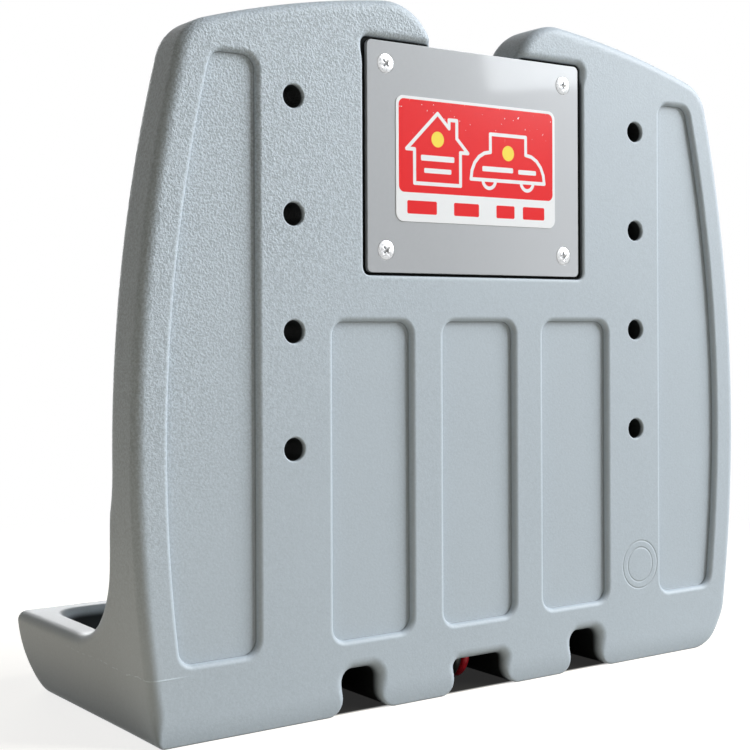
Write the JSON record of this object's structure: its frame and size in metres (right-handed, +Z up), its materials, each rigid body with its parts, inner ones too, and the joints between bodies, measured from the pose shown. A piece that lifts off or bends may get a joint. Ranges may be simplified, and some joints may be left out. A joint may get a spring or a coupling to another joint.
{
  "type": "jump starter charging dock",
  "caption": "Wall or bench dock with a moulded upright and a shallow tray, a screwed cover over its charger and contacts in the tray floor.",
  "frame": {"origin": "centre of the overall box at its lowest face, on the surface that the dock stands on", "axes": "+X across the dock, +Y from the wall side towards the front of the tray, +Z up"},
  "size_m": [0.352, 0.14, 0.3148],
  "materials": {
    "housing": "light blue-grey moulded plastic with a fine orange-peel grain",
    "cover": "smooth light grey, semi-gloss",
    "label": "printed film, red field on white",
    "zinc_screw": "bright zinc plate",
    "brass_insert": "turned, knurled",
    "grommet": "matt black",
    "board": "green solder mask",
    "core": "varnished laminations",
    "winding": "wound tape",
    "capacitor": "printed sleeve",
    "choke": "enamelled wire",
    "package": "moulded epoxy",
    "heat_sink": "extruded",
    "fuse": "clear tube with plated caps",
    "clip": "tinned spring sheet",
    "terminal": "moulded",
    "lead_red": "soft insulation",
    "lead_black": "soft insulation",
    "contact_block": "fine moulded grain",
    "contact": "turned",
    "lug": "tinned"
  },
  "bodies": {
    "root": {"dock_body": "housing", "cover_plate": "cover", "label": "label", "cover_screws": "zinc_screw", "threaded_inserts": "brass_insert", "mains_grommet": "grommet", "charger_board": "board", "board_screws": "zinc_screw", "transformer_core": "core", "transformer_winding": "winding", "mains_capacitor": "capacitor", "output_capacitor": "capacitor", "output_choke": "choke", "bridge_rectifier": "package", "power_transistor": "package", "heat_sink": "heat_sink", "fuse": "fuse", "fuse_clips": "clip", "mains_terminal": "terminal", "output_terminal": "terminal", "terminal_screws": "zinc_screw", "lead_positive": "lead_red", "lead_negative": "lead_black", "contact_block": "contact_block", "block_screws": "zinc_screw", "contact_positive": "contact", "contact_negative": "contact", "contact_nuts": "contact", "ring_lugs": "lug"}
  },
  "joints": []
}
